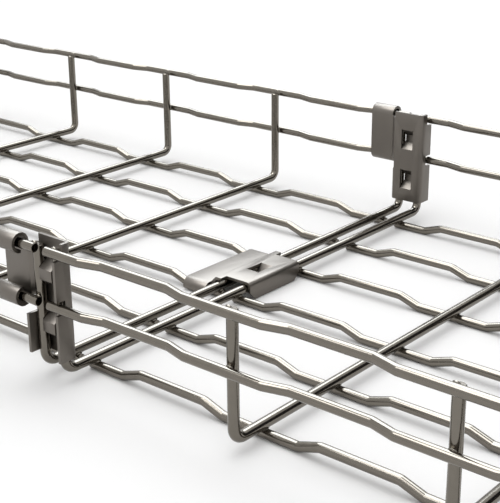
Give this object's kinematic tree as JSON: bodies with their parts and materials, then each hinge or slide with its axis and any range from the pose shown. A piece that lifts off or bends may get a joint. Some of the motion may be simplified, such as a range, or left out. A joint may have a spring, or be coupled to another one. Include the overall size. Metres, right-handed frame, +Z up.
{
  "type": "wire mesh cable basket",
  "caption": "Run of welded wire mesh cable basket: two stock lengths with waved long wires, joined end to end by folded clip-on couplers on both walls and the floor.",
  "frame": {"origin": "under the middle of the joint between the two lengths, level with the underside of the floor wires", "axes": "+X along the run, +Y across it, +Z up out of the open top"},
  "size_m": [6.007, 0.3052, 0.0686],
  "materials": {
    "wire": "satin galvanised drawn wire",
    "sheet": "satin galvanised sheet"
  },
  "bodies": {
    "root": {"basket_one_far_end": "wire", "basket_one_middle": "wire", "basket_one_joint_end": "wire", "basket_two_joint_end": "wire", "basket_two_middle": "wire", "basket_two_far_end": "wire", "left_wall_coupler": "sheet", "right_wall_coupler": "sheet", "floor_coupler": "sheet"}
  },
  "joints": []
}
